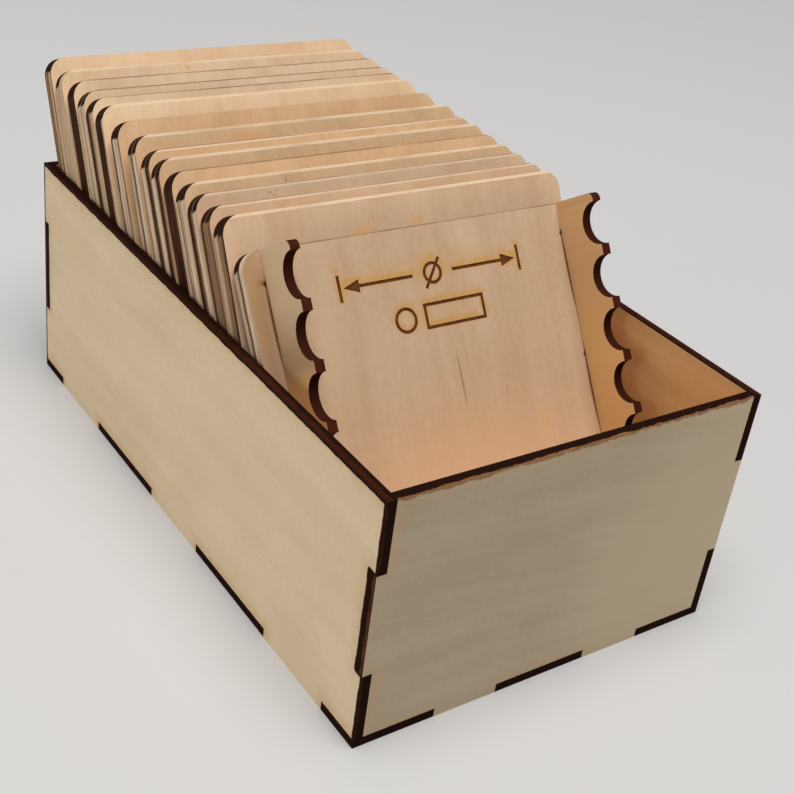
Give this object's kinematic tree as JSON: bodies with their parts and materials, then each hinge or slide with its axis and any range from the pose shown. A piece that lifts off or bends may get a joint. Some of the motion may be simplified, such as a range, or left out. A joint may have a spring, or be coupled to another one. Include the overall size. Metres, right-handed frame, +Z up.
{
  "type": "wooden storage box",
  "caption": "Open-topped finger-jointed plywood box with a row of two-sheet cards that lean back and lift out; the front card carries notched rails that seat rods.",
  "frame": {"origin": "centre of the floor panel's underside", "axes": "+X to the right along the front panel, +Y from the front panel to the back panel, +Z up"},
  "size_m": [0.126, 0.2241, 0.1133],
  "materials": {
    "box_plywood": "raw sanded veneer with charred cut edges",
    "card_plywood": "raw sanded veneer with charred corners",
    "rail_plywood": "raw sanded veneer with charred notches"
  },
  "bodies": {
    "box": {"floor_panel": "box_plywood", "left_side_panel": "box_plywood", "right_side_panel": "box_plywood", "front_panel": "box_plywood", "back_panel": "box_plywood"},
    "card_01": {"card_01_back_sheet": "card_plywood", "card_01_plate": "card_plywood"},
    "card_02": {"card_02_back_sheet": "card_plywood", "card_02_plate": "card_plywood"},
    "card_03": {"card_03_back_sheet": "card_plywood", "card_03_plate": "card_plywood"},
    "card_04": {"card_04_back_sheet": "card_plywood", "card_04_plate": "card_plywood"},
    "card_05": {"card_05_back_sheet": "card_plywood", "card_05_plate": "card_plywood"},
    "card_06": {"card_06_back_sheet": "card_plywood", "card_06_plate": "card_plywood"},
    "card_07": {"card_07_back_sheet": "card_plywood", "card_07_plate": "card_plywood"},
    "card_08": {"card_08_back_sheet": "card_plywood", "card_08_plate": "card_plywood"},
    "card_09": {"card_09_back_sheet": "card_plywood", "card_09_plate": "card_plywood"},
    "card_10": {"card_10_back_sheet": "card_plywood", "card_10_plate": "card_plywood"},
    "card_11": {"card_11_back_sheet": "card_plywood", "card_11_plate": "card_plywood"},
    "card_12": {"card_12_back_sheet": "card_plywood", "card_12_plate": "card_plywood"},
    "card_13": {"card_13_back_sheet": "card_plywood", "card_13_plate": "card_plywood"},
    "card_14": {"card_14_back_sheet": "card_plywood", "card_14_plate": "card_plywood"},
    "card_15": {"card_15_back_sheet": "card_plywood", "card_15_plate": "card_plywood"},
    "card_16": {"card_16_back_sheet": "card_plywood", "card_16_plate": "card_plywood", "card_16_left_rail": "rail_plywood", "card_16_right_rail": "rail_plywood"}
  },
  "joints": [
    {"name": "lift_card_01", "type": "slide", "parent": "box", "child": "card_01", "axis": [0, 0.3875, 0.9219], "range_m": [0, 0.0833]},
    {"name": "lift_card_02", "type": "slide", "parent": "box", "child": "card_02", "axis": [0, 0.4094, 0.9124], "range_m": [0, 0.0842]},
    {"name": "lift_card_03", "type": "slide", "parent": "box", "child": "card_03", "axis": [0, 0.4122, 0.9111], "range_m": [0, 0.0843]},
    {"name": "lift_card_04", "type": "slide", "parent": "box", "child": "card_04", "axis": [0, 0.4225, 0.9064], "range_m": [0, 0.0847]},
    {"name": "lift_card_05", "type": "slide", "parent": "box", "child": "card_05", "axis": [0, 0.4225, 0.9064], "range_m": [0, 0.0847]},
    {"name": "lift_card_06", "type": "slide", "parent": "box", "child": "card_06", "axis": [0, 0.4178, 0.9085], "range_m": [0, 0.0845]},
    {"name": "lift_card_07", "type": "slide", "parent": "box", "child": "card_07", "axis": [0, 0.4354, 0.9003], "range_m": [0, 0.0853]},
    {"name": "lift_card_08", "type": "slide", "parent": "box", "child": "card_08", "axis": [0, 0.4336, 0.9011], "range_m": [0, 0.0852]},
    {"name": "lift_card_09", "type": "slide", "parent": "box", "child": "card_09", "axis": [0, 0.4509, 0.8926], "range_m": [0, 0.086]},
    {"name": "lift_card_10", "type": "slide", "parent": "box", "child": "card_10", "axis": [0, 0.4509, 0.8926], "range_m": [0, 0.086]},
    {"name": "lift_card_11", "type": "slide", "parent": "box", "child": "card_11", "axis": [0, 0.461, 0.8874], "range_m": [0, 0.0865]},
    {"name": "lift_card_12", "type": "slide", "parent": "box", "child": "card_12", "axis": [0, 0.4675, 0.884], "range_m": [0, 0.0869]},
    {"name": "lift_card_13", "type": "slide", "parent": "box", "child": "card_13", "axis": [0, 0.4701, 0.8826], "range_m": [0, 0.087]},
    {"name": "lift_card_14", "type": "slide", "parent": "box", "child": "card_14", "axis": [0, 0.4741, 0.8805], "range_m": [0, 0.0872]},
    {"name": "lift_card_15", "type": "slide", "parent": "box", "child": "card_15", "axis": [0, 0.4679, 0.8838], "range_m": [0, 0.0869]},
    {"name": "lift_card_16", "type": "slide", "parent": "box", "child": "card_16", "axis": [0, 0.4679, 0.8838], "range_m": [0, 0.0869]}
  ]
}
